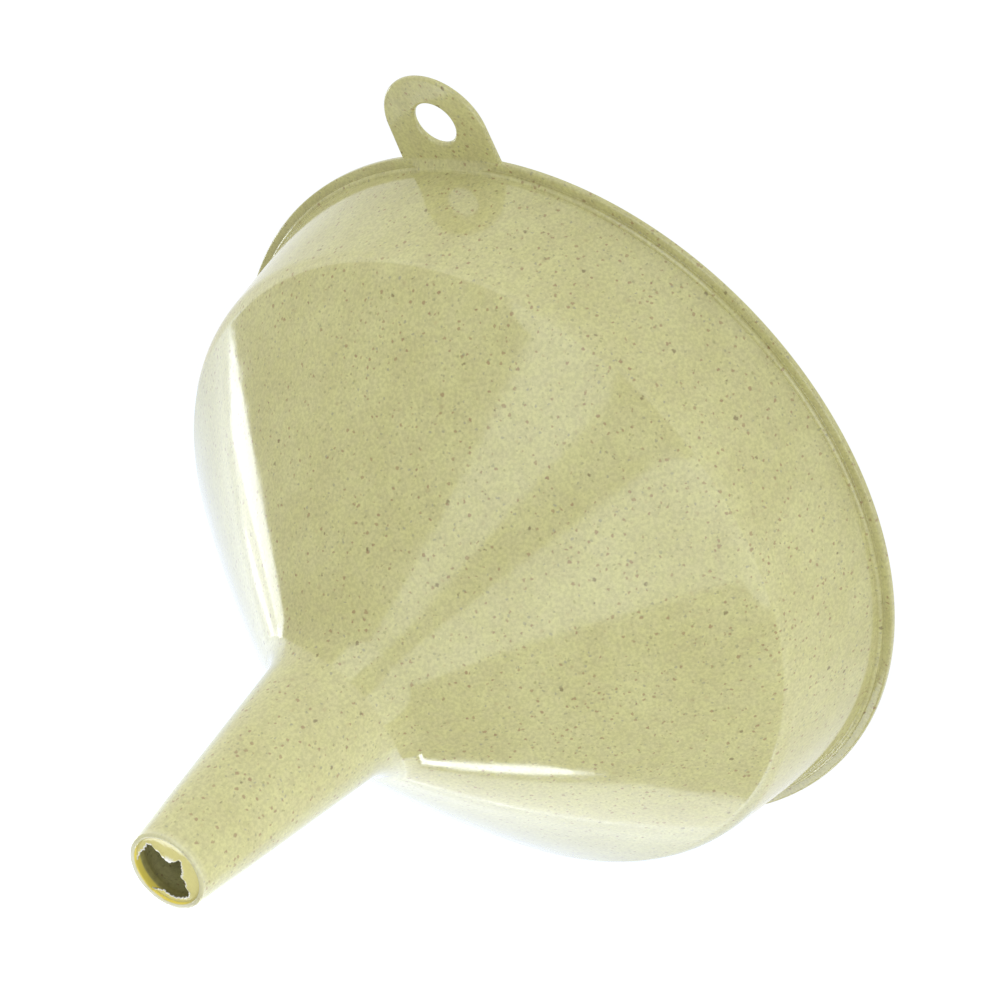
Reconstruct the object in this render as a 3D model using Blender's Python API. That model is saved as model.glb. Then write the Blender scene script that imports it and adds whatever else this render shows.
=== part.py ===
"""A small hand funnel, standing mouth down: one thin-walled moulding, modelled as its named sections.

Row frame: the mouth's rim rests on z = 0 and the spout points up +Z. The hanging tab points along +X.
The origin is under the middle of the bounding box, so the funnel's own axis is at x = AXIS_X.
Sizes below are in millimetres, and MM turns them into Blender's metres.
"""

import math

import bmesh
import bpy

MM = 0.001
SEGMENTS = 72  # facets round the axis

RIM_RADIUS = 57.5  # outside of the lip, half the mouth's overall width
WALL = 1.3
JOIN_GAP = 0.3  # left between one section of the moulding and the next

# Tab: a flat tongue with a round end and one hole, set up a little from the lip towards the spout.
# Its lengths are along the tab from the lip's edge, and its heights are square to it.
TAB_TILT = math.radians(10.0)
TAB_LENGTH = 13.95
TAB_LOW = 0.1
TAB_HIGH = 1.05
TAB_HALF_WIDTH = 8.6
HOLE_RADIUS = 3.2
HOLE_AT = 6.0
TAB_REACH = RIM_RADIUS + TAB_LENGTH * math.cos(TAB_TILT) - TAB_LOW * math.sin(TAB_TILT)
AXIS_X = (RIM_RADIUS - TAB_REACH) / 2

# The outside of the bowl and spout is one line, walked from the rim's top edge to the spout's tip.
START_RADIUS = 55.45
START_HEIGHT = 2.0
COLLAR_SLOPE = 10.2  # degrees from the axis
CREASE_ROUND = 6.5
CONE_SLOPE_OUT = 48.6  # where the cone leaves the crease
CONE_SLOPE_IN = 54.2  # where it reaches the spout
NECK_ROUND = 9.0
SPOUT_SLOPE = 7.5
COLLAR_RUN = 17.16
CONE_RUN = 46.6
SPOUT_RUN = 33.7

TIP_WALL = 0.75  # the spout's wall thins to this at its end
TIP_ROUND = 0.3
BORE_CHAMFER = 0.1

# Torn film left across the bore where the moulding gate was cut away.
FILM_DEPTH = 0.5  # below the tip's end face
FILM_THICKNESS = 0.6
# The torn edge, as (degrees round the bore from the tab's side, distance from the axis).
FILM_EDGE = (
    (-165, 4.0),
    (-141, 3.8),
    (-131, 3.0),
    (-99, 2.4),
    (-73, 3.0),
    (-62, 3.4),
    (-51, 1.9),
    (-22, 1.7),
    (-4, 2.1),
    (7, 3.0),
    (20, 2.6),
    (30, 3.5),
    (54, 3.8),
    (68, 4.1),
)

PLASTIC_COLOUR = (0.56, 0.54, 0.27, 1.0)


def clear_scene():
    """Removes the startup objects."""
    for obj in list(bpy.data.objects):
        bpy.data.objects.remove(obj)


def plastic():
    """The one speckled plastic, as a plain gloss colour."""
    material = bpy.data.materials.new("straw_plastic")
    material.use_nodes = True
    shader = material.node_tree.nodes["Principled BSDF"]
    shader.inputs["Base Color"].default_value = PLASTIC_COLOUR
    shader.inputs["Roughness"].default_value = 0.3
    return material


def wall_pieces():
    """The outside line as (length, first slope, last slope) in degrees from the axis."""
    crease = math.radians(CONE_SLOPE_OUT - COLLAR_SLOPE)
    neck = math.radians(CONE_SLOPE_IN - SPOUT_SLOPE)
    return [
        (COLLAR_RUN, COLLAR_SLOPE, COLLAR_SLOPE),
        (CREASE_ROUND * crease, COLLAR_SLOPE, CONE_SLOPE_OUT),
        (CONE_RUN, CONE_SLOPE_OUT, CONE_SLOPE_IN),
        (NECK_ROUND * neck, CONE_SLOPE_IN, SPOUT_SLOPE),
        (SPOUT_RUN, SPOUT_SLOPE, SPOUT_SLOPE),
    ]


def walk(distance):
    """(radius, height, slope in radians) at this distance along the outside line."""
    radius = START_RADIUS
    height = START_HEIGHT
    for length, first, last in wall_pieces():
        step = min(distance, length)
        start = math.radians(first)
        turn = math.radians(last - first) * step / length
        middle = start + turn / 2
        # The chord of an arc is shorter than its length, and lies along its middle direction.
        chord = step if abs(turn) < 1e-9 else step * math.sin(turn / 2) / (turn / 2)
        radius -= chord * math.sin(middle)
        height += chord * math.cos(middle)
        distance -= step
        if distance <= 0:
            return radius, height, start + turn
    return radius, height, math.radians(SPOUT_SLOPE)


def stops():
    """Distances along the outside line at which each piece of it ends."""
    ends = [0.0]
    for length, _, _ in wall_pieces():
        ends.append(ends[-1] + length)
    return ends


def between(first, last, count):
    """Evenly spaced distances, both ends included."""
    return [first + (last - first) * i / count for i in range(count + 1)]


def inside_of(point, depth=WALL):
    """The point this far under the outside line."""
    radius, height, slope = point
    return radius - depth * math.cos(slope), height - depth * math.sin(slope)


def shell_profile(distances):
    """Closed outline of a wall: up its outside, then back down its inside."""
    points = [walk(distance) for distance in distances]
    outside = [(radius, height) for radius, height, _ in points]
    inside = [inside_of(point) for point in reversed(points)]
    return outside + inside


def add_object(name, mesh, material, smooth):
    """Puts a finished bmesh in the scene as a named object."""
    bmesh.ops.recalc_face_normals(mesh, faces=mesh.faces)
    data = bpy.data.meshes.new(name)
    mesh.to_mesh(data)
    mesh.free()
    for polygon in data.polygons:
        polygon.use_smooth = smooth
    data.materials.append(material)
    obj = bpy.data.objects.new(name, data)
    bpy.context.scene.collection.objects.link(obj)
    return obj


def turned(name, outline, material):
    """A solid of revolution round the funnel's axis from a closed (radius, height) outline."""
    mesh = bmesh.new()
    rings = []
    for i in range(SEGMENTS):
        angle = 2 * math.pi * i / SEGMENTS
        ring = []
        for radius, height in outline:
            x = (AXIS_X + radius * math.cos(angle)) * MM
            y = radius * math.sin(angle) * MM
            ring.append(mesh.verts.new((x, y, height * MM)))
        rings.append(ring)
    count = len(outline)
    for i in range(SEGMENTS):
        here = rings[i]
        there = rings[(i + 1) % SEGMENTS]
        for j in range(count):
            k = (j + 1) % count
            mesh.faces.new((here[j], there[j], there[k], here[k]))
    return add_object(name, mesh, material, True)


def rim_outline():
    """The flat lip, the low rounded bead on top of it, and the foot of the collar."""
    bead_radius = RIM_RADIUS - 1.0
    bead = 0.55
    outside = [
        (RIM_RADIUS - 0.25, 0.0),
        (RIM_RADIUS, 0.25),
        (RIM_RADIUS, 0.8),
        (RIM_RADIUS - 0.2, 1.0),
        (bead_radius + 0.05, 1.04),
    ]
    for i in range(5):
        angle = math.radians(90 * i / 4)
        radius = bead_radius - bead * (1 - math.cos(angle))
        outside.append((radius, 1.1 + bead * math.sin(angle)))
    outside.append((START_RADIUS + 0.2, 1.66))
    outside.append((START_RADIUS + 0.06, 1.75))
    outside.append((START_RADIUS, START_HEIGHT))
    inner_top = inside_of(walk(0.0))
    inner_mouth = (inner_top[0] + math.tan(math.radians(COLLAR_SLOPE)) * inner_top[1], 0.0)
    outside.append(inner_top)
    outside.append((inner_mouth[0] - 0.06, 0.3))
    outside.append((inner_mouth[0] + 0.25, 0.0))
    return outside


def tip_outline():
    """The neck and the spout, with a rounded end and a small chamfer in the bore."""
    ends = stops()
    distances = between(ends[3] + JOIN_GAP / 2, ends[4], 8)
    distances += between(ends[4], ends[5] - TIP_ROUND, 6)[1:]
    outline = [walk(distance)[:2] for distance in distances]
    end_radius, end_height, _ = walk(ends[5])
    for share in (0.33, 0.66, 1.0):
        angle = math.radians(90 * share)
        radius = end_radius - TIP_ROUND * (1 - math.cos(angle))
        height = end_height - TIP_ROUND * (1 - math.sin(angle))
        outline.append((radius, height))
    bore = end_radius - TIP_WALL
    outline.append((bore + BORE_CHAMFER, end_height))
    outline.append((bore, end_height - BORE_CHAMFER))
    # The bore is straight past the film, so the film's seat keeps one radius.
    outline.append((bore, end_height - 2.0))
    inside = []
    for distance in reversed(distances):
        thinned = max(distance - ends[4], 0.0) / (ends[5] - ends[4])
        depth = WALL + (TIP_WALL - WALL) * thinned
        inside.append(inside_of(walk(distance), depth))
    return outline + [point for point in inside if point[1] < end_height - 2.5]


def tab_outline():
    """Plan of the tab from its root, round its end and back, as (along, across) points."""
    centre = TAB_LENGTH - TAB_HALF_WIDTH
    root_radius = RIM_RADIUS + JOIN_GAP + TAB_HIGH * math.sin(TAB_TILT)
    root_angle = math.asin(TAB_HALF_WIDTH / root_radius)
    points = []
    for i in range(9):
        angle = -root_angle + 2 * root_angle * i / 8
        points.append((root_radius * math.cos(angle) - RIM_RADIUS, root_radius * math.sin(angle)))
    for i in range(25):
        angle = math.radians(90 - 180 * i / 24)
        points.append((centre + TAB_HALF_WIDTH * math.cos(angle), TAB_HALF_WIDTH * math.sin(angle)))
    return points


def on_tab(along, across, up):
    """The place of a point given along, across and square to the tab."""
    x = AXIS_X + RIM_RADIUS + along * math.cos(TAB_TILT) - up * math.sin(TAB_TILT)
    z = along * math.sin(TAB_TILT) + up * math.cos(TAB_TILT)
    return x * MM, across * MM, z * MM


def plate(name, outline, low, high, material):
    """A flat plate with this plan, lying at the tab's tilt."""
    mesh = bmesh.new()
    bottom = [mesh.verts.new(on_tab(x, y, low)) for x, y in outline]
    top = [mesh.verts.new(on_tab(x, y, high)) for x, y in outline]
    count = len(outline)
    for i in range(count):
        j = (i + 1) % count
        mesh.faces.new((bottom[i], bottom[j], top[j], top[i]))
    mesh.faces.new(bottom)
    mesh.faces.new(top)
    return add_object(name, mesh, material, False)


def hanging_tab(material):
    """The tab, with its hole cut through."""
    tab = plate("hanging_tab", tab_outline(), TAB_LOW, TAB_HIGH, material)
    circle = []
    for i in range(32):
        angle = 2 * math.pi * i / 32
        circle.append((HOLE_AT + HOLE_RADIUS * math.cos(angle), HOLE_RADIUS * math.sin(angle)))
    cutter = plate("hole_cutter", circle, TAB_LOW - 1.0, TAB_HIGH + 1.0, material)
    cutter.hide_render = True
    cutter.display_type = "WIRE"
    cut = tab.modifiers.new("hole", "BOOLEAN")
    cut.operation = "DIFFERENCE"
    cut.solver = "EXACT"
    cut.object = cutter


def film_edge(share):
    """(angle in radians, inner radius) of the torn edge, this share of the way from point to point."""
    place = share * (len(FILM_EDGE) - 1)
    i = min(int(place), len(FILM_EDGE) - 2)
    part = place - i
    angle = FILM_EDGE[i][0] + part * (FILM_EDGE[i + 1][0] - FILM_EDGE[i][0])
    radius = FILM_EDGE[i][1] + part * (FILM_EDGE[i + 1][1] - FILM_EDGE[i][1])
    return math.radians(angle), radius


def gate_film(material):
    """Thin torn crescent across part of the bore, just under the tip's end face."""
    end_radius, end_height, _ = walk(stops()[5])
    outer = end_radius - TIP_WALL - JOIN_GAP
    high = end_height - FILM_DEPTH
    low = high - FILM_THICKNESS
    mesh = bmesh.new()
    slices = []
    count = 2 * (len(FILM_EDGE) - 1)
    for i in range(count + 1):
        angle, inner = film_edge(i / count)
        corners = []
        for radius, height in ((inner, low), (outer, low), (outer, high), (inner, high)):
            x = (AXIS_X + radius * math.cos(angle)) * MM
            y = radius * math.sin(angle) * MM
            corners.append(mesh.verts.new((x, y, height * MM)))
        slices.append(corners)
    for here, there in zip(slices, slices[1:]):
        for j in range(4):
            k = (j + 1) % 4
            mesh.faces.new((here[j], there[j], there[k], here[k]))
    mesh.faces.new(slices[0])
    mesh.faces.new(slices[-1])
    add_object("gate_film", mesh, material, False)


def build():
    """Makes every section of the funnel."""
    clear_scene()
    material = plastic()
    ends = stops()
    turned("rim", rim_outline(), material)
    hanging_tab(material)
    collar = between(JOIN_GAP, ends[1] - JOIN_GAP / 2, 3)
    turned("bowl_collar", shell_profile(collar), material)
    cone = between(ends[1] + JOIN_GAP / 2, ends[2], 6)
    cone += between(ends[2], ends[3] - JOIN_GAP / 2, 8)[1:]
    turned("bowl_cone", shell_profile(cone), material)
    turned("spout", tip_outline(), material)
    gate_film(material)


build()
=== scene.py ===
"""Looks of the small straw-plastic funnel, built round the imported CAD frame.

The funnel stands mouth down on the floor with its spout up, as the frame does. Lengths of the moulding
are in millimetres, and MM turns them into metres; the stage is in metres. Each CAD section is replaced
by a finer piece of the same name and shape. The sections of the wall meet face to face and share their
surface normals where they meet, so the moulding reads as one body.
"""

import math

import bpy
from mathutils import Matrix, Vector


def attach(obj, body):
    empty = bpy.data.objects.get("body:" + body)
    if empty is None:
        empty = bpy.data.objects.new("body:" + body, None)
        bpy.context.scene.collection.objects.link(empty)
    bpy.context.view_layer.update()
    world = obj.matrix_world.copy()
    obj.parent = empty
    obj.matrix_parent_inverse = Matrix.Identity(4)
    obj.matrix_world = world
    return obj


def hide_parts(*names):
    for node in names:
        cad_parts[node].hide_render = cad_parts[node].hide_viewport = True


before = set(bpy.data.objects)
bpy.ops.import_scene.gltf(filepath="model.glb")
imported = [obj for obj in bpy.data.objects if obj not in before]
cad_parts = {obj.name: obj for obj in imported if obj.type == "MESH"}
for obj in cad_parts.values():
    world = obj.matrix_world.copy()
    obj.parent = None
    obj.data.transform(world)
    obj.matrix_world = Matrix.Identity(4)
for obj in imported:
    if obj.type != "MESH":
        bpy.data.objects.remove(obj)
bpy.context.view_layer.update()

MM = 0.001
SEGMENTS = 320

# The mouth's lip and the low bead on it.
RIM_RADIUS = 57.5
LIP_EDGE_HEIGHT = 1.05
LIP_ROOT_HEIGHT = 1.0
LIP_ROUND = 0.3
LIP_LOW_ROUND = 0.28
BEAD_RADIUS = 56.22
BEAD_HEIGHT = 1.78
BEAD_TOP_ROUND = 0.5

# The hanging tab. TAB_LENGTH is the CAD tab's, which places the axis; the rest are the finer tab's.
TAB_TILT = math.radians(10.0)
TAB_LENGTH = 13.95
TAB_LOW = 0.1
TAB_HIGH = 1.05
TAB_HALF_WIDTH = 8.6
TAB_WIDENING = 0.03  # of each side, per millimetre towards the rim
TAB_CENTRE = 5.05  # of its round end, outward from the lip's edge
TAB_ROOT = -1.9
TAB_EDGE_ROUND = 0.4
TAB_RAISE = 0.93  # of its top, where it runs over the lip
HOLE_RADIUS = 3.4
HOLE_PLACE = Vector((5.85, -0.15))
TAB_REACH = RIM_RADIUS + TAB_LENGTH * math.cos(TAB_TILT) - TAB_LOW * math.sin(TAB_TILT)
AXIS_X = (RIM_RADIUS - TAB_REACH) / 2

# The wall, from the collar's foot to the spout's end. Slopes are in degrees from the axis.
WALL = 1.3
TIP_WALL = 0.75
START_RADIUS = 55.45
START_HEIGHT = 2.0
COLLAR_SLOPE = 10.2
CREASE_ROUND = 6.5
CONE_SLOPE_OUT = 48.6
CONE_SLOPE_IN = 54.2
NECK_ROUND = 9.0
SPOUT_SLOPE = 7.5
COLLAR_RUN = 17.16
CONE_RUN = 46.6
SPOUT_RUN = 33.7

# The spout's end, cut a little slanting, and the torn film in it.
TIP_ROUND = 0.36
TIP_TILT = math.tan(math.radians(6.5))
TIP_LOW_SIDE = math.radians(-50)
TIP_HINGE_RADIUS = 5.5  # where the slanting cut keeps its full height
SLANT_STARTS = 82.0
SLANT_FULL = 88.5
BORE_RINGS = (0.6, 0.9, 1.1, 1.3, 1.5)  # depths below the end that carry the bore's change of colour
FILM_DEPTH = 0.45
FILM_OVERLAP = 0.15  # of the film into the spout's wall
FILM_THICKNESS = 0.6
FILM_THINNING = 0.45
# The torn edge: direction in degrees, and distance from the axis.
FILM_EDGE = (
    (-180, 4.40),
    (-157, 4.40),
    (-147, 4.35),
    (-140.5, 3.75),
    (-138, 3.15),
    (-124, 2.78),
    (-112, 2.05),
    (-95, 2.20),
    (-77, 2.50),
    (-61, 3.05),
    (-52, 3.15),
    (-48.5, 2.20),
    (-30, 1.45),
    (-7, 1.35),
    (8, 2.05),
    (10, 2.75),
    (21, 3.15),
    (23, 3.85),
    (31, 4.30),
    (48, 4.12),
    (65, 4.60),
    (76, 4.85),
    (86, 5.30),
    (130, 5.30),
    (139, 4.70),
    (150, 4.08),
    (165, 4.20),
    (180, 4.40),
)

# Camera, in millimetres from the funnel's axis at the mouth plane.
CAMERA_PLACE = (209.19, -255.52, 274.02)
CAMERA_RIGHT = (-0.25445, -0.78411, -0.56606)
CAMERA_UP = (0.83772, 0.11374, -0.53412)
CAMERA_LENS = 103.445

# Stage, in metres. The floor's glow changes between two distances from the funnel.
FLOOR_TINT = (0.985, 1.0, 1.02, 1.0)
FLOOR_RADIANCE = 1.02
FAR_FLOOR_RADIANCE = 1.55
FLOOR_CHANGE = (0.07, 0.16)
FLOOR_RADIUS = 1.6
BACK_FLOOR_TINT = (0.93, 1.0, 1.14, 1.0)
BACK_FLOOR_NEAR_RADIANCE = 1.1
BACK_FLOOR_RADIANCE = 2.4
BACK_FLOOR_CHANGE = (0.08, 0.32)
BACK_FLOOR_START = 0.062
BACK_FLOOR_LIFT = 0.0001
BACK_FLOOR_AZIMUTHS = (80, 203)
SHADED_FLOOR_TINT = (0.6, 0.6, 0.5, 1.0)
SHADED_FLOOR_RADIANCE = 0.08
MOUTH_RADIUS = 0.0565
BACKDROP_RADIUS = 3.5
BACKDROP_RADIANCE = 1.05
WORLD_TINT = (1.0, 0.99, 0.97, 1.0)
WORLD_RADIANCE = 0.58

# Light panels: name, azimuth, width, elevations of the low and high edges, all in degrees, and radiance.
PANEL_DISTANCE = 1.0
PANEL_TINT = (0.94, 1.0, 1.1)
REFLECTED_PANELS = (
    ("tall_box_left", -92, 48, 0, 73, 1.65),
    ("tall_box_right", -21, 35, 0, 73, 1.65),
    ("side_strip_left", 90.5, 7, -1.5, 17.5, 5.5),
    ("side_glow_left", 98, 9, -1.5, 13, 3.0),
    ("side_strip_right", 175, 16, 17, 21, 10.0),
    ("side_panel_right", 166, 32, -2, 14, 2.0),
    ("back_panel", 112, 26, -1.5, 5.5, 2.2),
    ("tab_panel", 138, 18, 26, 40, 3.5),
)
FILL_PANELS = (
    ("fill_left", 70, 44, 12, 60, 0.95),
    ("fill_right", -150, 44, 12, 60, 1.6),
    ("fill_front", -50, 90, 20, 76, 0.65),
)


# ---------------------------------------------------------------- colours


def srgb(red, green, blue):
    """A linear colour from 0-255 sRGB values."""
    channels = []
    for value in (red, green, blue):
        share = value / 255
        channels.append(share / 12.92 if share <= 0.04045 else ((share + 0.055) / 1.055) ** 2.4)
    return (*channels, 1.0)


BASE_LIGHT = srgb(211, 208, 147)
BASE_DARK = srgb(204, 200, 138)
GRAIN_DARK = (0.84, 0.84, 0.85, 1.0)
CLOUD_TINT = (0.965, 0.95, 1.0, 1.0)
FLECK_RED = srgb(148, 110, 82)
FLECK_BROWN = srgb(158, 132, 92)
FLECK_GREY = srgb(150, 146, 128)
FLECK_OLIVE = srgb(158, 154, 96)
FLECK_DARK = srgb(114, 96, 66)
# Painted light: a cream glow on the spout's end, yellow light through the bore's wall, and a white
# highlight along the film's torn edge.
PAINTED_GLOW_CREAM = srgb(240, 238, 214)
LIT_YELLOW = srgb(255, 236, 110)
PAINTED_EDGE_HIGHLIGHT = srgb(254, 254, 248)
FILM_YELLOW = srgb(232, 222, 140)
SHADE_TINT = (0.66, 0.63, 0.50, 1.0)

# Flecks: spacing of the cells, small and large radius, share of the cells, and softness of the edge.
BROWN_FLECKS = (0.98, 0.13, 0.33, 0.64, 0.14)
GREY_FLECKS = (0.74, 0.11, 0.26, 0.64, 0.16)
DARK_FLECKS = (2.5, 0.20, 0.42, 0.4, 0.08)
BLOTCHES = (1.5, 0.22, 0.5, 0.5, 0.3)


# ---------------------------------------------------------------- outlines


def wall_pieces():
    """The outside line as (length, first slope, last slope) in degrees from the axis."""
    crease = math.radians(CONE_SLOPE_OUT - COLLAR_SLOPE)
    neck = math.radians(CONE_SLOPE_IN - SPOUT_SLOPE)
    return [
        (COLLAR_RUN, COLLAR_SLOPE, COLLAR_SLOPE),
        (CREASE_ROUND * crease, COLLAR_SLOPE, CONE_SLOPE_OUT),
        (CONE_RUN, CONE_SLOPE_OUT, CONE_SLOPE_IN),
        (NECK_ROUND * neck, CONE_SLOPE_IN, SPOUT_SLOPE),
        (SPOUT_RUN, SPOUT_SLOPE, SPOUT_SLOPE),
    ]


def walk(distance):
    """(radius, height, slope in radians) at this distance along the outside line."""
    radius = START_RADIUS
    height = START_HEIGHT
    for length, first, last in wall_pieces():
        step = min(distance, length)
        start = math.radians(first)
        turn = math.radians(last - first) * step / length
        middle = start + turn / 2
        chord = step if abs(turn) < 1e-9 else step * math.sin(turn / 2) / (turn / 2)
        radius -= chord * math.sin(middle)
        height += chord * math.cos(middle)
        distance -= step
        if distance <= 0:
            return radius, height, start + turn
    return radius, height, math.radians(SPOUT_SLOPE)


def stops():
    """Distances along the outside line at which each piece of it ends."""
    ends = [0.0]
    for length, _, _ in wall_pieces():
        ends.append(ends[-1] + length)
    return ends


ENDS = stops()


def between(first, last, count):
    """Evenly spaced values, both ends included."""
    return [first + (last - first) * i / count for i in range(count + 1)]


def outside(distance):
    """((radius, height), normal) on the outside wall."""
    radius, height, slope = walk(distance)
    return (radius, height), (math.cos(slope), math.sin(slope))


def inside(distance):
    """((radius, height), normal) on the inside wall, which thins along the spout."""
    radius, height, slope = walk(distance)
    across, along = math.cos(slope), math.sin(slope)
    thinned = max(distance - ENDS[4], 0.0) / (ENDS[5] - ENDS[4])
    depth = WALL + (TIP_WALL - WALL) * thinned
    return (radius - depth * across, height - depth * along), (-across, -along)


def flat_run(first, last):
    """A straight run with one normal, the outline being walked with the solid on its left."""
    run_x = last[0] - first[0]
    run_z = last[1] - first[1]
    size = math.hypot(run_x, run_z)
    normal = (run_z / size, -run_x / size)
    return [(first, normal), (last, normal)]


def rounded(corners, steps=7):
    """Points along straight lines through (x, z, radius) corners, each corner turned by an arc."""
    points = [corners[0][:2]]
    for before, here, after in zip(corners, corners[1:], corners[2:]):
        middle = Vector(here[:2])
        back = (Vector(before[:2]) - middle).normalized()
        on = (Vector(after[:2]) - middle).normalized()
        if here[2] == 0:
            points.append(here[:2])
            continue
        half = back.angle(on) / 2
        reach = here[2] / math.tan(half)
        centre = middle + (back + on).normalized() * (here[2] / math.sin(half))
        first = middle + back * reach - centre
        last = middle + on * reach - centre
        turn = first.angle_signed(last)
        for i in range(steps + 1):
            spun = Matrix.Rotation(-turn * i / steps, 2) @ first
            points.append(tuple(centre + spun))
    points.append(corners[-1][:2])
    return points


def smooth_run(points, first=None, last=None):
    """The points with a normal each, from the directions either side; the ends' normals may be given."""
    run = []
    for i, point in enumerate(points):
        before = points[max(i - 1, 0)]
        after = points[min(i + 1, len(points) - 1)]
        aside = Vector((after[1] - before[1], before[0] - after[0])).normalized()
        run.append((point, tuple(aside)))
    if first:
        run[0] = (points[0], first)
    if last:
        run[-1] = (points[-1], last)
    return run


def join_runs(runs):
    """One closed outline of (point, normal before it, normal after it)."""
    outline = []
    for i, run in enumerate(runs):
        arriving = runs[i - 1][-1][1]
        for j, (point, normal) in enumerate(run[:-1]):
            outline.append((point, arriving if j == 0 else normal, normal))
    return outline


# ---------------------------------------------------------------- meshes


# How much painted paleness, painted light through from behind, and painted shade the plastic has at a
# vertex.
LAYERS = ("pale", "lit", "shade")


def ring_mesh(name, columns, layers=None):
    """A closed mesh from columns that follow each other in a ring.

    Each column is a closed outline of (point, normal before, normal after) in metres. layers gives a
    function of the point, from 0 to 1, for any of LAYERS.
    """
    rows = len(columns[0])
    count = len(columns)
    points = [point for column in columns for point, _, _ in column]
    faces = []
    normals = []
    for i in range(count):
        k = (i + 1) % count
        for j in range(rows):
            n = (j + 1) % rows
            faces.append((i * rows + j, k * rows + j, k * rows + n, i * rows + n))
            normals += [columns[i][j][2], columns[k][j][2], columns[k][n][1], columns[i][n][1]]
    mesh = bpy.data.meshes.new(name)
    mesh.from_pydata(points, [], faces)
    mesh.update()
    if mesh.polygons[0].normal.dot(Vector(normals[0])) < 0:
        faces = [tuple(reversed(face)) for face in faces]
        normals = [n for i in range(0, len(normals), 4) for n in reversed(normals[i : i + 4])]
        mesh.clear_geometry()
        mesh.from_pydata(points, [], faces)
    mesh.polygons.foreach_set("use_smooth", [True] * len(faces))
    mesh.normals_split_custom_set(normals)
    for label in LAYERS:
        amount = (layers or {}).get(label)
        layer = mesh.attributes.new(label, "FLOAT", "POINT")
        layer.data.foreach_set("value", [amount(*point) if amount else 0.0 for point in points])
    obj = bpy.data.objects.new(name, mesh)
    bpy.context.scene.collection.objects.link(obj)
    return obj


def slanted(point, normal):
    """The point and normal after the spout's end is cut a little slanting, lower on one side."""
    x, y, z = (point[0] / MM - AXIS_X, point[1] / MM, point[2] / MM)
    strength = TIP_TILT * smoothstep(SLANT_STARTS, SLANT_FULL, z)
    side_x = strength * math.cos(TIP_LOW_SIDE)
    side_y = strength * math.sin(TIP_LOW_SIDE)
    drop = side_x * x + side_y * y + strength * TIP_HINGE_RADIUS
    turned_normal = Vector((normal[0] + side_x * normal[2], normal[1] + side_y * normal[2], normal[2]))
    return (point[0], point[1], point[2] - drop * MM), tuple(turned_normal.normalized())


def turned(name, outline, layers=None, shift=None):
    """A solid of revolution round the funnel's axis from a closed outline of radius and height."""
    columns = []
    for i in range(SEGMENTS):
        angle = 2 * math.pi * i / SEGMENTS
        c, s = math.cos(angle), math.sin(angle)
        column = []
        for (radius, height), before, after in outline:
            point = ((AXIS_X + radius * c) * MM, radius * s * MM, height * MM)
            turned_before = (before[0] * c, before[0] * s, before[1])
            turned_after = (after[0] * c, after[0] * s, after[1])
            if shift:
                turned_before = shift(point, turned_before)[1]
                point, turned_after = shift(point, turned_after)
            column.append((point, turned_before, turned_after))
        columns.append(column)
    return ring_mesh(name, columns, layers)


def smoothstep(low, high, value):
    """0 at low, 1 at high, and smooth between; low may be the larger."""
    share = min(max((value - low) / (high - low), 0.0), 1.0)
    return share * share * (3 - 2 * share)


def from_axis(x, y):
    """Distance of a point in metres from the funnel's axis, in millimetres."""
    return math.hypot(x / MM - AXIS_X, y / MM)


def make_rim():
    """The flat lip, the low bead on top of it, and the tight curve into the collar."""
    inner_top, inner_normal = inside(0.0)
    outer_top, outer_normal = outside(0.0)
    mouth_radius = inner_top[0] + math.tan(math.radians(COLLAR_SLOPE)) * inner_top[1]
    corners = [
        (inner_top[0], inner_top[1], 0),
        (mouth_radius, 0.0, LIP_ROUND),
        (RIM_RADIUS, 0.0, LIP_LOW_ROUND),
        (RIM_RADIUS, LIP_EDGE_HEIGHT, LIP_ROUND),
        (BEAD_RADIUS, LIP_ROOT_HEIGHT, 0.1),
        (BEAD_RADIUS - 0.05, BEAD_HEIGHT, BEAD_TOP_ROUND),
        (outer_top[0] + 0.07, 1.73, 0.07),
        (outer_top[0], outer_top[1], 0),
    ]
    body = smooth_run(rounded(corners), inner_normal, outer_normal)
    cap = flat_run(outer_top, inner_top)

    def shade(x, y, z):
        radius = from_axis(x, y)
        corner = smoothstep(56.0, 56.2, radius) * (1 - smoothstep(56.4, 57.0, radius))
        side = 0.15 * smoothstep(57.1, 57.4, radius)
        return max(0.3 * corner, side) * smoothstep(0.2, 0.6, z / MM)

    return turned("rim", join_runs([body, cap]), {"shade": shade})


def wall_section(name, distances):
    """A plain section of wall between two distances along the outside line."""
    out = [outside(distance) for distance in distances]
    back = [inside(distance) for distance in reversed(distances)]
    top = flat_run(out[-1][0], back[0][0])
    bottom = flat_run(back[-1][0], out[0][0])
    return turned(name, join_runs([out, top, back, bottom]))


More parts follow.
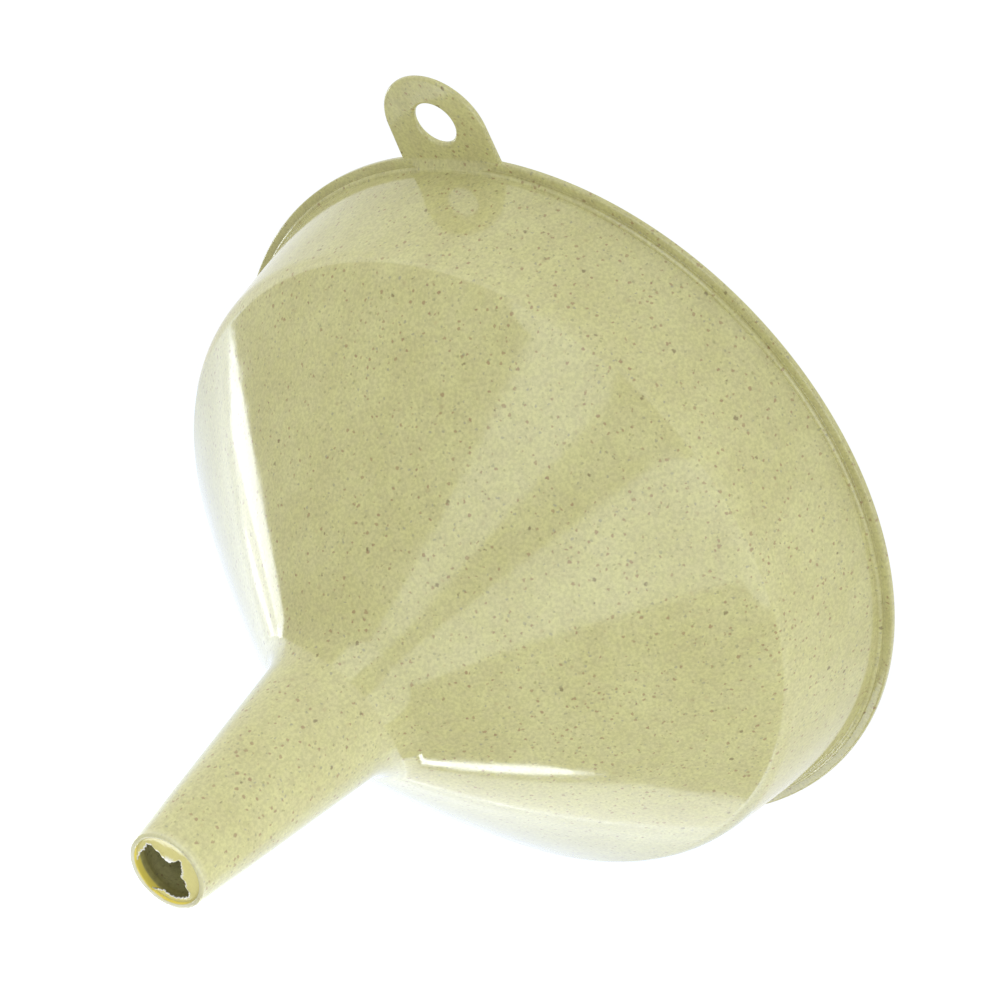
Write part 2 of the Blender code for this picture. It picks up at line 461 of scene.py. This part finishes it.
def make_spout():
    """The neck and the spout with its rounded, slightly slanting end and its bore."""
    distances = between(ENDS[3], ENDS[4], 22) + between(ENDS[4], ENDS[5] - 0.6, 48)[1:]
    out = [outside(distance)[0] for distance in distances]
    end_radius, end_height, _ = walk(ENDS[5])
    bore = end_radius - TIP_WALL
    # The bore's last stretch is straight, so the tapering inside line stops short of it.
    back = [inside(distance)[0] for distance in reversed(distances)]
    back = [point for point in back if point[1] < end_height - 3.2]
    corners = [
        (out[-1][0], out[-1][1], 0),
        (end_radius, end_height, TIP_ROUND),
        (bore, end_height, TIP_ROUND),
        *((bore, end_height - depth, 0.0) for depth in BORE_RINGS),
        (bore, end_height - 2.0, 1.0),
        (back[0][0], back[0][1], 0),
    ]
    points = out[:-1] + rounded(corners) + back[1:]
    body = smooth_run(points, outside(ENDS[3])[1], inside(ENDS[3])[1])
    cap = flat_run(points[-1], points[0])

    def low_side(x, y):
        return math.cos(math.atan2(y, x - AXIS_X * MM) - TIP_LOW_SIDE)

    def below_end(x, y, z):
        return end_height - z / MM - TIP_TILT * TIP_HINGE_RADIUS * (1 + low_side(x, y))

    def in_bore(x, y):
        return 1 - smoothstep(bore + 0.02, bore + 0.12, from_axis(x, y))

    # Painted glow: cream on the end ring and just below it, strongest on the side away from the cut's low
    # side.
    def pale(x, y, z):
        side = 0.3 + 0.7 * smoothstep(-0.2, 0.6, -low_side(x, y))
        return side * (1 - smoothstep(0.35, 0.9, below_end(x, y, z))) * (1 - in_bore(x, y))

    def lit(x, y, z):
        side = smoothstep(0.0, 0.5, -low_side(x, y))
        return side * in_bore(x, y) * (1 - smoothstep(1.1, 1.3, below_end(x, y, z)))

    def shade(x, y, z):
        return in_bore(x, y) * smoothstep(1.1, 1.5, below_end(x, y, z))

    return turned("spout", join_runs([body, cap]), {"pale": pale, "lit": lit, "shade": shade}, slanted)


def on_tab(along, across, up):
    """The place of a point given along, across and square to the tab, in metres."""
    x = AXIS_X + RIM_RADIUS + along * math.cos(TAB_TILT) - up * math.sin(TAB_TILT)
    z = max(along * math.sin(TAB_TILT) + up * math.cos(TAB_TILT), 0.05)
    return x * MM, across * MM, z * MM


def tab_edge(angle):
    """(point, outward normal, is root) on the tab's plan, on a ray at this angle from the hole's centre."""
    ray = Vector((math.cos(angle), math.sin(angle)))
    start = HOLE_PLACE
    centre = Vector((TAB_CENTRE, 0.0))
    offset = start - centre
    along = offset.dot(ray)
    reach = -along + math.sqrt(along * along - offset.length_squared + TAB_HALF_WIDTH**2)
    point = start + ray * reach
    if point.x >= TAB_CENTRE:
        return point, (point - centre).normalized(), False
    side = math.copysign(1.0, ray.y)
    half_here = TAB_HALF_WIDTH + TAB_WIDENING * (TAB_CENTRE - start.x) - side * start.y
    reach = half_here / (ray.y * side + TAB_WIDENING * ray.x)
    point = start + ray * reach
    if point.x >= TAB_ROOT and reach > 0:
        return point, Vector((TAB_WIDENING, side)).normalized(), False
    return start + ray * ((TAB_ROOT - start.x) / ray.x), Vector((-1.0, 0.0)), True


def tab_rise(along, across):
    """How far the tab's top is raised over the lip, where it runs into the bead and the collar."""
    inward = RIM_RADIUS - math.hypot(RIM_RADIUS + along, across)
    from_side = TAB_HALF_WIDTH - abs(across)
    return TAB_RAISE * smoothstep(-0.1, 1.55, inward) * smoothstep(0.2, 3.2, from_side)


def tab_point(plan, up, normal):
    """A vertex of the tab: its plan point raised near the root, and its normal leaned to suit."""
    share = smoothstep(TAB_LOW + 0.1, TAB_HIGH - 0.1, up)
    rise = tab_rise(plan.x, plan.y)
    step = 0.02
    lean_x = (tab_rise(plan.x + step, plan.y) - rise) / step
    lean_y = (tab_rise(plan.x, plan.y + step) - rise) / step
    # The lean is halved, so that the root shades as one surface with the tab.
    lean = 0.5 * share * normal[2]
    leaned = Vector((normal[0] - lean_x * lean, normal[1] - lean_y * lean, normal[2])).normalized()
    place = on_tab(plan.x, plan.y, up + rise * share)
    c, s = math.cos(TAB_TILT), math.sin(TAB_TILT)
    return place, (leaned.x * c - leaned.z * s, leaned.y, leaned.x * s + leaned.z * c)


def make_tab():
    """The hanging tab: a flat tongue with round edges and a hole, its root running over the lip."""
    edge = TAB_EDGE_ROUND
    steps = 6
    count = 192
    columns = []
    for i in range(count):
        angle = 2 * math.pi * (i + 0.5) / count
        out_point, out_normal, is_root = tab_edge(angle)
        ray = Vector((math.cos(angle), math.sin(angle)))
        hole_point = HOLE_PLACE + ray * HOLE_RADIUS

        def side(base, normal, first, last, root):
            run = []
            for k in range(2 * steps + 2):
                share = (k - 1 if k > steps else k) / (2 * steps)
                tilt = math.radians(first + (last - first) * share)
                upper = (k > steps) == (last > first)
                middle = TAB_HIGH - edge if upper else TAB_LOW + edge
                inset = edge * (1 - math.cos(tilt))
                if root:
                    plan = Vector((base.x, base.y * (TAB_HALF_WIDTH - inset) / TAB_HALF_WIDTH))
                else:
                    plan = base - normal * inset
                direction = (normal.x * math.cos(tilt), normal.y * math.cos(tilt), math.sin(tilt))
                run.append(tab_point(plan, middle + edge * math.sin(tilt), direction))
            return run

        outer = side(out_point, out_normal, -90, 90, is_root)
        inner = side(hole_point, -ray, 90, -90, False)
        top = []
        for share in between(0.0, 1.0, 14):
            plan_out = out_point - out_normal * edge
            if is_root:
                plan_out = Vector((out_point.x, out_point.y * (TAB_HALF_WIDTH - edge) / TAB_HALF_WIDTH))
            plan = plan_out.lerp(hole_point + ray * edge, share)
            top.append(tab_point(plan, TAB_HIGH, (0.0, 0.0, 1.0)))
        low = tab_point(HOLE_PLACE, TAB_LOW, (0.0, 0.0, -1.0))[1]
        bottom = [(inner[-1][0], low), (outer[0][0], low)]
        columns.append(join_runs([outer, top, inner, bottom]))
    return ring_mesh("hanging_tab", columns)


def film_inner(angle):
    """Distance of the film's torn edge from the axis at this angle in degrees."""
    for (a, first), (b, last) in zip(FILM_EDGE, FILM_EDGE[1:]):
        if a <= angle <= b:
            base = first + (last - first) * (angle - a) / (b - a)
            break
    jag = 0.08 * math.sin(angle * 0.61) + 0.06 * math.sin(angle * 1.37 + 1.0)
    return min(base + jag, 5.16)


def make_film():
    """The film torn across the bore: thin, thinner towards its edge, with a painted highlight there, and
    curled a little.
    """
    end_radius, end_height, _ = walk(ENDS[5])
    outer = end_radius - TIP_WALL + FILM_OVERLAP
    top = end_height - FILM_DEPTH
    columns = []
    count = 300
    steps = 8
    for i in range(count):
        degrees = -180 + 360 * i / count
        angle = math.radians(degrees)
        inner = film_inner(degrees)
        width = outer - inner
        upper = []
        lower = []
        for k in range(steps + 1):
            share = k / steps
            radius = outer - width * share
            sag = 0.10 * min(width, 1.5) * math.sin(math.pi * min(share * 1.1, 1))
            height = top - sag + 0.06 * share * math.sin(angle * 9)
            thick = FILM_THICKNESS - FILM_THINNING * share
            upper.append((radius, height))
            lower.append((radius, height - thick))
        outline = smooth_run(upper + lower[::-1])
        c, s = math.cos(angle), math.sin(angle)
        column = []
        for (radius, height), normal in outline:
            point = ((AXIS_X + radius * c) * MM, radius * s * MM, height * MM)
            point, spun = slanted(point, (normal[0] * c, normal[0] * s, normal[1]))
            column.append((point, spun, spun))
        columns.append(column)

    # Painted highlight: white along the torn edge, in a band that is widest near -20 degrees.
    def pale(x, y, z):
        angle = math.degrees(math.atan2(y / MM, x / MM - AXIS_X))
        wide = 0.25 + 0.7 * smoothstep(16.0, 2.0, abs(angle + 20.0) - 8.0)
        return 1 - smoothstep(wide * 0.4, wide, from_axis(x, y) - film_inner(angle))

    def shade(x, y, z):
        return 0.5 * smoothstep(outer - 0.45, outer - 0.2, from_axis(x, y))

    return ring_mesh("gate_film", columns, {"pale": pale, "shade": shade})


# ---------------------------------------------------------------- materials


class Nodes:
    """Small helper that adds and links nodes in one material."""

    def __init__(self, name):
        self.material = bpy.data.materials.new(name)
        self.material.use_nodes = True
        self.tree = self.material.node_tree
        self.shader = self.tree.nodes["Principled BSDF"]

    def add(self, kind, **settings):
        node = self.tree.nodes.new(kind)
        for key, value in settings.items():
            setattr(node, key, value)
        return node

    def link(self, source, target):
        self.tree.links.new(source, target)

    def feed(self, socket, value):
        """Links an output socket, or sets a plain value."""
        if isinstance(value, bpy.types.NodeSocket):
            self.link(value, socket)
        else:
            socket.default_value = value

    def maths(self, operation, a, b=0.0, clamp=False):
        node = self.add("ShaderNodeMath", operation=operation, use_clamp=clamp)
        self.feed(node.inputs[0], a)
        self.feed(node.inputs[1], b)
        return node.outputs[0]

    def ramp(self, value, low, high, to_low=0.0, to_high=1.0):
        node = self.add("ShaderNodeMapRange", interpolation_type="SMOOTHSTEP")
        self.feed(node.inputs["Value"], value)
        self.feed(node.inputs["From Min"], low)
        self.feed(node.inputs["From Max"], high)
        self.feed(node.inputs["To Min"], to_low)
        self.feed(node.inputs["To Max"], to_high)
        return node.outputs["Result"]

    def mix(self, factor, a, b, blend="MIX"):
        node = self.add("ShaderNodeMix", data_type="RGBA", blend_type=blend)
        self.feed(node.inputs[0], factor)
        self.feed(node.inputs[6], a)
        self.feed(node.inputs[7], b)
        return node.outputs[2]

    def noise(self, place, scale, detail=2.0, roughness=0.5):
        node = self.add("ShaderNodeTexNoise", noise_dimensions="3D")
        self.link(place, node.inputs["Vector"])
        node.inputs["Scale"].default_value = scale
        node.inputs["Detail"].default_value = detail
        node.inputs["Roughness"].default_value = roughness
        return node.outputs["Fac"]


def fleck_layer(nodes, place, spacing, small, large, share, soft):
    """Mask and random number of flecks: one to a cell of this spacing, in a share of the cells.

    spacing and the small and large radii are in millimetres. soft is the width of a fleck's blurred edge,
    as a share of the spacing.
    """
    cells = nodes.add("ShaderNodeTexVoronoi", voronoi_dimensions="3D", feature="F1")
    nodes.link(place, cells.inputs["Vector"])
    cells.inputs["Scale"].default_value = 1 / (spacing * MM)
    cells.inputs["Randomness"].default_value = 1.0
    parts = nodes.add("ShaderNodeSeparateColor")
    nodes.link(cells.outputs["Color"], parts.inputs["Color"])
    size = nodes.ramp(parts.outputs[0], 0.0, 1.0, small / spacing, large / spacing)
    edge = nodes.maths("SUBTRACT", size, cells.outputs["Distance"])
    mask = nodes.ramp(edge, 0.0, soft)
    chosen = nodes.maths("LESS_THAN", parts.outputs[1], share)
    return nodes.maths("MULTIPLY", mask, chosen), parts.outputs[2]


def straw_plastic(name, torn_film=0.0):
    """Glossy pale olive plastic filled with ground straw: fine brown and grey flecks under a clear skin."""
    nodes = Nodes(name)
    coords = nodes.add("ShaderNodeTexCoord").outputs["Object"]
    # Flecks are ground fibre, so their outlines are pushed about a little.
    wobble = nodes.add("ShaderNodeTexNoise", noise_dimensions="3D")
    nodes.link(coords, wobble.inputs["Vector"])
    wobble.inputs["Scale"].default_value = 2200
    centred = nodes.add("ShaderNodeVectorMath", operation="SUBTRACT")
    nodes.link(wobble.outputs["Color"], centred.inputs[0])
    centred.inputs[1].default_value = (0.5, 0.5, 0.5)
    pushed = nodes.add("ShaderNodeVectorMath", operation="MULTIPLY_ADD")
    nodes.link(centred.outputs[0], pushed.inputs[0])
    pushed.inputs[1].default_value = (0.0006, 0.0006, 0.0006)
    nodes.link(coords, pushed.inputs[2])
    place = pushed.outputs[0]

    mottling = nodes.noise(coords, 90, 3.0, 0.6)
    base = nodes.mix(nodes.ramp(mottling, 0.3, 0.7), BASE_DARK, BASE_LIGHT)
    clouds = nodes.noise(coords, 520, 2.0, 0.5)
    base = nodes.mix(nodes.ramp(clouds, 0.36, 0.64), nodes.mix(1.0, base, CLOUD_TINT, "MULTIPLY"), base)
    grain = nodes.noise(coords, 2100, 2.0, 0.6)
    base = nodes.mix(nodes.ramp(grain, 0.32, 0.68), nodes.mix(1.0, base, GRAIN_DARK, "MULTIPLY"), base)

    brown, brown_pick = fleck_layer(nodes, place, *BROWN_FLECKS)
    grey, grey_pick = fleck_layer(nodes, place, *GREY_FLECKS)
    dark, _ = fleck_layer(nodes, place, *DARK_FLECKS)
    blotch, _ = fleck_layer(nodes, place, *BLOTCHES)
    brown_colour = nodes.mix(brown_pick, FLECK_RED, FLECK_BROWN)
    grey_colour = nodes.mix(grey_pick, FLECK_GREY, FLECK_OLIVE)
    colour = nodes.mix(nodes.maths("MULTIPLY", blotch, 0.22), base, FLECK_RED)
    colour = nodes.mix(nodes.maths("MULTIPLY", grey, 0.6), colour, grey_colour)
    colour = nodes.mix(nodes.maths("MULTIPLY", brown, 0.62), colour, brown_colour)
    colour = nodes.mix(nodes.maths("MULTIPLY", dark, 0.65), colour, FLECK_DARK)

    pale = nodes.add("ShaderNodeAttribute", attribute_name="pale").outputs["Fac"]
    lit = nodes.add("ShaderNodeAttribute", attribute_name="lit").outputs["Fac"]
    shade = nodes.add("ShaderNodeAttribute", attribute_name="shade").outputs["Fac"]
    if torn_film:
        colour = nodes.mix(0.75, colour, FILM_YELLOW)
    # Painted light: a cream glow on the spout's end, and a white highlight along the film's torn edge.
    colour = nodes.mix(nodes.maths("MULTIPLY", pale, 0.9), colour, PAINTED_EDGE_HIGHLIGHT if torn_film else PAINTED_GLOW_CREAM)
    colour = nodes.mix(lit, colour, LIT_YELLOW)
    colour = nodes.mix(shade, colour, SHADE_TINT, "MULTIPLY")
    nodes.link(colour, nodes.shader.inputs["Base Color"])

    patches = nodes.noise(coords, 220, 3.0, 0.55)
    nodes.link(nodes.ramp(patches, 0.3, 0.7, 0.08, 0.13), nodes.shader.inputs["Roughness"])
    nodes.shader.inputs["IOR"].default_value = 1.5

    peel = nodes.noise(coords, 700, 2.0, 0.5)
    ripple = nodes.noise(coords, 60, 1.0, 0.5)
    height = nodes.maths("ADD", nodes.maths("MULTIPLY", peel, 0.25), ripple)
    height = nodes.maths("ADD", height, nodes.maths("MULTIPLY", brown, 0.1))
    bump = nodes.add("ShaderNodeBump")
    bump.inputs["Strength"].default_value = 0.25
    bump.inputs["Distance"].default_value = 0.00012
    nodes.link(height, bump.inputs["Height"])
    nodes.link(bump.outputs["Normal"], nodes.shader.inputs["Normal"])
    return nodes.material


# ---------------------------------------------------------------- stage


def emission(name, colour, strength):
    """A plain glowing material for the stage."""
    material = bpy.data.materials.new(name)
    material.use_nodes = True
    tree = material.node_tree
    tree.nodes.remove(tree.nodes["Principled BSDF"])
    glow = tree.nodes.new("ShaderNodeEmission")
    glow.inputs["Color"].default_value = colour
    glow.inputs["Strength"].default_value = strength
    tree.links.new(glow.outputs[0], tree.nodes["Material Output"].inputs["Surface"])
    return material


def floor_patch(name, inner, outer, first, last, height, material):
    """A flat patch of floor round the funnel's axis, between two radii and two azimuths in degrees."""
    mesh = bpy.data.meshes.new(name)
    count = 96
    points = []
    for radius in (inner, outer):
        for azimuth in between(first, last, count):
            angle = math.radians(azimuth)
            points.append((AXIS_X * MM + radius * math.cos(angle), radius * math.sin(angle), height))
    row = count + 1
    faces = [(i, row + i, row + i + 1, i + 1) for i in range(count)]
    mesh.from_pydata(points, [], faces)
    mesh.materials.append(material)
    patch = bpy.data.objects.new(name, mesh)
    bpy.context.scene.collection.objects.link(patch)
    return patch


def floor_white(name, colour, near, far, start, end):
    """A white glow that changes with distance from the funnel, between two radii in metres."""
    material = emission(name, colour, near)
    tree = material.node_tree
    place = tree.nodes.new("ShaderNodeTexCoord")
    away = tree.nodes.new("ShaderNodeVectorMath")
    away.operation = "LENGTH"
    strength = tree.nodes.new("ShaderNodeMapRange")
    strength.inputs["From Min"].default_value = start
    strength.inputs["From Max"].default_value = end
    strength.inputs["To Min"].default_value = near
    strength.inputs["To Max"].default_value = far
    tree.links.new(place.outputs["Object"], away.inputs[0])
    tree.links.new(away.outputs["Value"], strength.inputs["Value"])
    tree.links.new(strength.outputs["Result"], tree.nodes["Emission"].inputs["Strength"])
    return material


def make_floor():
    """A glowing pale floor, dark under the funnel's mouth.

    The patch behind the funnel is brighter, but only in reflections, as a sweep lit from behind is.
    """
    in_shade = emission("floor_in_shade", SHADED_FLOOR_TINT, SHADED_FLOOR_RADIANCE)
    white = floor_white("floor_white", FLOOR_TINT, FLOOR_RADIANCE, FAR_FLOOR_RADIANCE, *FLOOR_CHANGE)
    bright = floor_white(
        "back_floor_white",
        BACK_FLOOR_TINT,
        BACK_FLOOR_NEAR_RADIANCE,
        BACK_FLOOR_RADIANCE,
        *BACK_FLOOR_CHANGE,
    )
    floor_patch("floor_in_shade", 0.0005, MOUTH_RADIUS, -180, 180, 0.0, in_shade)
    floor_patch("floor", MOUTH_RADIUS, FLOOR_RADIUS, -180, 180, 0.0, white)
    first, last = BACK_FLOOR_AZIMUTHS
    back = floor_patch("back_floor", BACK_FLOOR_START, FLOOR_RADIUS, first, last, BACK_FLOOR_LIFT, bright)
    back.visible_diffuse = False


def make_backdrop():
    """A white shell behind everything that only the camera sees, so every view has the same pale ground."""
    mesh = bpy.data.meshes.new("backdrop")
    rows = 12
    count = 48
    radius = BACKDROP_RADIUS
    points = []
    for j in range(rows + 1):
        tilt = math.radians(-12 + 102 * j / rows)
        for i in range(count):
            angle = 2 * math.pi * i / count
            flat = radius * math.cos(tilt)
            points.append((flat * math.cos(angle), flat * math.sin(angle), radius * math.sin(tilt)))
    faces = []
    for j in range(rows):
        for i in range(count):
            k = (i + 1) % count
            faces.append((j * count + i, j * count + k, (j + 1) * count + k, (j + 1) * count + i))
    mesh.from_pydata(points, [], faces)
    mesh.materials.append(emission("backdrop_white", (1.0, 1.0, 1.0, 1.0), BACKDROP_RADIANCE))
    shell = bpy.data.objects.new("backdrop", mesh)
    bpy.context.scene.collection.objects.link(shell)
    shell.visible_diffuse = False
    shell.visible_glossy = False
    shell.visible_transmission = False
    shell.visible_shadow = False


def panel(name, azimuth, width, low, high, radiance):
    """An upright light panel facing the funnel, seen only in reflections.

    Azimuth, from +X towards +Y, and width are in degrees. low and high are the elevations of its edges.
    """
    angle = math.radians(azimuth)
    towards = Vector((math.cos(angle), math.sin(angle), 0.0))
    bottom = PANEL_DISTANCE * math.tan(math.radians(low))
    top = PANEL_DISTANCE * math.tan(math.radians(high))
    centre = Vector((AXIS_X * MM, 0.0, 0.035))
    data = bpy.data.lights.new(name, "AREA")
    data.shape = "RECTANGLE"
    data.size = 2 * PANEL_DISTANCE * math.tan(math.radians(width) / 2)
    data.size_y = top - bottom
    data.energy = radiance * math.pi * data.size * data.size_y
    data.color = PANEL_TINT
    light = bpy.data.objects.new(name, data)
    light.location = centre + towards * PANEL_DISTANCE + Vector((0.0, 0.0, (top + bottom) / 2))
    light.rotation_mode = "QUATERNION"
    light.rotation_quaternion = towards.to_track_quat("Z", "Y")
    light.visible_camera = False
    light.visible_diffuse = False
    bpy.context.scene.collection.objects.link(light)
    return light


def make_lights():
    """Soft studio light: panels that are only reflected, and fills that only light the plastic."""
    for values in REFLECTED_PANELS:
        panel(*values)
    for values in FILL_PANELS:
        fill = panel(*values)
        fill.visible_diffuse = True
        fill.visible_glossy = False
    world = bpy.data.worlds.new("studio")
    world.use_nodes = True
    background = world.node_tree.nodes["Background"]
    background.inputs["Color"].default_value = WORLD_TINT
    background.inputs["Strength"].default_value = WORLD_RADIANCE
    bpy.context.scene.world = world


def make_camera():
    """The photograph's viewpoint: from above the spout, rolled so that the spout points down and left."""
    data = bpy.data.cameras.new("camera")
    data.sensor_width = 36
    data.lens = CAMERA_LENS
    data.clip_start = 0.01
    data.clip_end = 20
    camera = bpy.data.objects.new("camera", data)
    right = Vector(CAMERA_RIGHT).normalized()
    up = Vector(CAMERA_UP).normalized()
    back = right.cross(up)
    turn = Matrix((right, up, back)).transposed()
    camera.rotation_mode = "QUATERNION"
    camera.rotation_quaternion = turn.to_quaternion()
    camera.location = (Vector(CAMERA_PLACE) + Vector((AXIS_X, 0.0, 0.0))) * MM
    bpy.context.scene.collection.objects.link(camera)
    bpy.context.scene.camera = camera


# ---------------------------------------------------------------- scene


plastic = straw_plastic("straw_plastic")
torn_plastic = straw_plastic("torn_straw_plastic", 1.0)

collar_stops = between(0.0, ENDS[1], 10)
cone_stops = between(ENDS[1], ENDS[2], 20) + between(ENDS[2], ENDS[3], 60)[1:]
pieces = {
    "rim": (make_rim(), plastic),
    "hanging_tab": (make_tab(), plastic),
    "bowl_collar": (wall_section("bowl_collar", collar_stops), plastic),
    "bowl_cone": (wall_section("bowl_cone", cone_stops), plastic),
    "spout": (make_spout(), plastic),
    "gate_film": (make_film(), torn_plastic),
}
for node, (piece, material) in pieces.items():
    piece.name = "moulded_" + node
    piece.data.materials.append(material)
    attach(piece, "root")
    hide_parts(node)

make_floor()
make_backdrop()
make_lights()
make_camera()
bpy.context.scene.view_settings.view_transform = "Standard"
